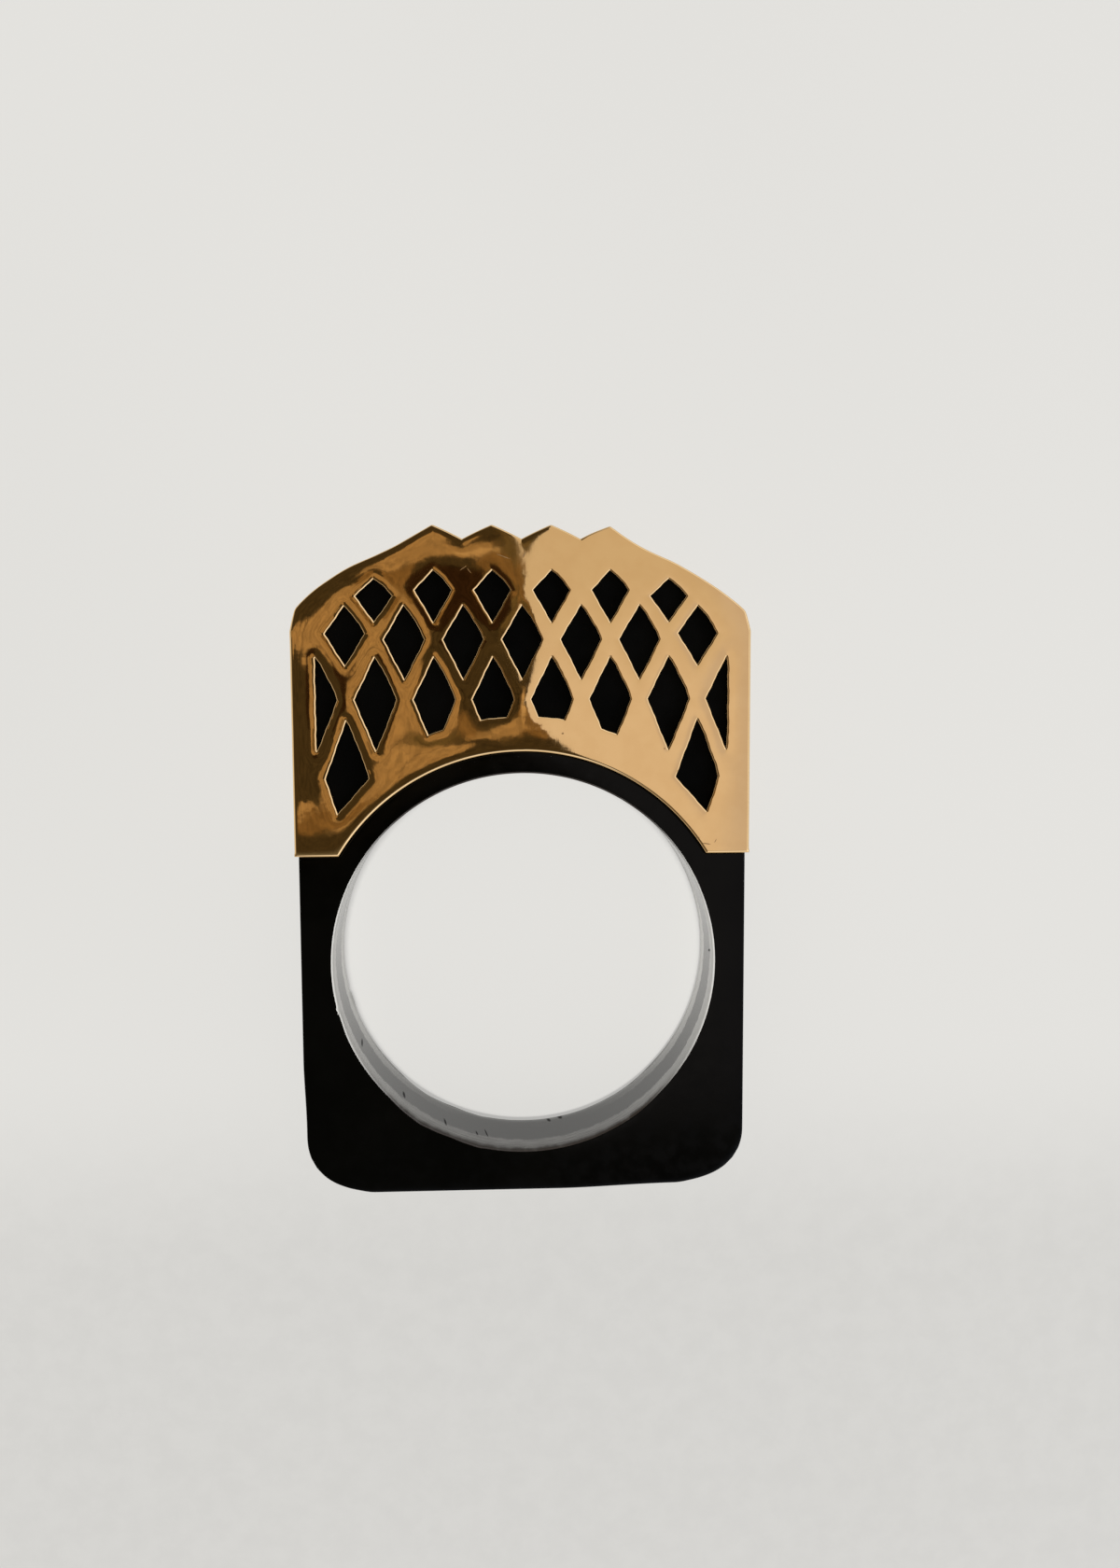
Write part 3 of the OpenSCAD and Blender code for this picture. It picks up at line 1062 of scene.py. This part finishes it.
def room(world):
    """Plain light for everything but gloss, and the mirrored room for gloss."""
    tree = Tree(world)
    way = tree.add("ShaderNodeTexCoord").outputs["Generated"]
    up = tree.split(way)[2]
    spread = tree.math("DIVIDE", MIRROR_HEIGHT, tree.math("MAXIMUM", up, LEAST_UP))
    flat = tree.vector("MULTIPLY_ADD", way, tree.join(spread, spread), (*CAMERA_AT.xy, 0.0))
    where = flat
    for wander in WANDERS:
        where = tree.wander(where, *wander)
    mx, my, _ = tree.split(where)

    dark = layered(tree, where, SHADE, SHADE_LAYERS)
    for row in PATCHES:
        dark = patch(tree, where, dark, *row)
    streaks = tree.blots(tree.scaled(where, STREAKS), 0.35, 0.65, detail=5.0, roughness=0.6)
    dark = tree.tint(streaks, *(tree.dimmed(dark, share) for share in STREAK_SHARES))
    light = layered(tree, where, LIGHT, LIGHT_LAYERS)

    below = tree.math("MAXIMUM", tree.math("SUBTRACT", BOW_TOP, my), 0.0)
    bow = tree.math("POWER", tree.math("MINIMUM", below, BOW_DEPTH), BOW_POWER)
    edge = tree.math("MULTIPLY_ADD", bow, BOW_SHARE, DIVIDE_X)
    frayed = tree.split(tree.wander(flat, *DIVIDE_FRAY))[0]
    across = tree.blend(tree.step(my, *FRAYED_FROM), mx, frayed)
    front = tree.fade(tree.math("SUBTRACT", across, edge), DIVIDE_SOFT, dark, light)

    # How level the way is, and the colours near the horizon
    level = tree.math("SQRT", tree.math("SUBTRACT", 1.0, tree.math("MULTIPLY", up, up)))
    compass = tree.vector("DIVIDE", way, tree.join(level, level))
    around = tree.fade(level, CALM_FROM, layered(tree, compass, WEST, HORIZON_LAYERS), CALM)
    mirrored = tree.fade(level, HORIZON, front, around)
    path = tree.add("ShaderNodeLightPath").outputs
    direct = tree.math("LESS_THAN", path["Diffuse Depth"], 0.5)
    gloss = tree.math("MULTIPLY", path["Is Glossy Ray"], direct)
    plain = tree.tint(path["Is Camera Ray"], FILL_COLOUR, BACKDROP)
    lights = [tree.add("ShaderNodeBackground", {0: shade}).outputs[0] for shade in (plain, mirrored)]
    mixed = tree.add("ShaderNodeMixShader", enumerate((gloss, *lights)))
    tree.add("ShaderNodeOutputWorld", {"Surface": mixed.outputs[0]})


FLOOR_COLOUR = (0.785, 0.777, 0.752)
# Share of the floor's light that shines through it from below, as on a light table
FLOOR_GLOW = 0.6
FLOOR_SIZE = 3000.0
FLOOR_ROUGHNESS = 0.55
# The floor drifts to this share of its tone
DRIFT_DARK = 0.97
# The floor is darker towards the near side, a painted shade, and mottled there, from one place along Y
# to another
FLOOR_SHADE_FADE = (-5.0, -17.0)
NEAR_SHADE_AND_MOTTLE = (0.866, 0.894)
# The key light: the way it comes from, how wide it looks, and its strength
KEY_FROM = Vector((-4.0, 10.0, 330.0))
KEY_WIDTH = math.radians(6)
KEY_STRENGTH = 2.6


def floor():
    """A pale floor that glows a little, with painted shade and soft mottling towards the near side."""
    bpy.ops.mesh.primitive_grid_add(x_subdivisions=8, y_subdivisions=8, size=FLOOR_SIZE * MM)
    made = bpy.context.object
    made.name = "pale_floor"
    made.location = (0, 0, CAP_LOW.z * MM)
    material, tree, place = new_material("pale_floor")
    drift = tree.blots(place, 0.3, 0.7, scale=18.0, detail=1.0)
    tint = tree.tint(drift, FLOOR_COLOUR, tree.dimmed(FLOOR_COLOUR, DRIFT_DARK))
    mottle = tree.blots(place, 0.3, 0.7, scale=700.0, detail=3.0, roughness=0.65)
    # Towards the near side the floor is darker, a painted shade, and mottled
    near = tree.tint(mottle, *(tree.dimmed(tint, share) for share in NEAR_SHADE_AND_MOTTLE))
    tint = tree.fade(tree.split(place)[1], [y * MM for y in FLOOR_SHADE_FADE], tint, near)
    others = {"Specular IOR Level": 0.2, "Emission Color": tint, "Emission Strength": FLOOR_GLOW}
    tree.surface(tree.dimmed(tint, 1 - FLOOR_GLOW), FLOOR_ROUGHNESS, others)
    made.data.materials.append(material)


def key_light():
    """A soft light from above, which gloss doesn't see."""
    data = bpy.data.lights.new("soft_key", "SUN")
    data.angle = KEY_WIDTH
    data.energy = KEY_STRENGTH
    data.color = (1.0, 0.99, 0.97)
    made = placed("soft_key", data)
    made.location = KEY_FROM * MM
    made.rotation_euler = (-KEY_FROM).to_track_quat("-Z", "Y").to_euler()
    made.visible_glossy = False


def camera():
    data = bpy.data.cameras.new("camera")
    data.lens = CAMERA_LENS
    data.sensor_width = 36.0
    data.clip_start, data.clip_end = 1.0 * MM, 4000.0 * MM
    made = placed("camera", data)
    made.location = CAMERA_AT * MM
    made.rotation_mode = "ZXY"
    made.rotation_euler = CAMERA_TURN
    bpy.context.scene.camera = made


def dress():
    """Makes the two pieces and lets them ride on the frame. bump is a height in metres."""
    cap = gold_cap([
        gold_material("polished_gold", roughness=(0.02, 0.045), bump=8e-7, marked=True),
        gold_material("sawn_gold", roughness=(0.12, 0.25), bump=6e-6),
    ])
    band = resin_band([
        resin_material("resin_face", gloss=0.1, roughness=(0.08, 0.18), bump=1e-6),
        bore_material("resin_bore", gloss=0.58, roughness=(0.1, 0.22), bump=1e-6),
        resin_material("resin_core", gloss=0.04, roughness=(0.5, 0.7), bump=5e-6),
    ])
    for piece, node, slot in ((cap, "gold_cap", "yellow_gold"), (band, "resin_band", "black_resin")):
        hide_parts(node)
        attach(piece, "root")


dress()
floor()
key_light()
camera()
world = bpy.data.worlds.new("room")
bpy.context.scene.world = world
room(world)
bpy.context.scene.view_settings.view_transform = "Standard"
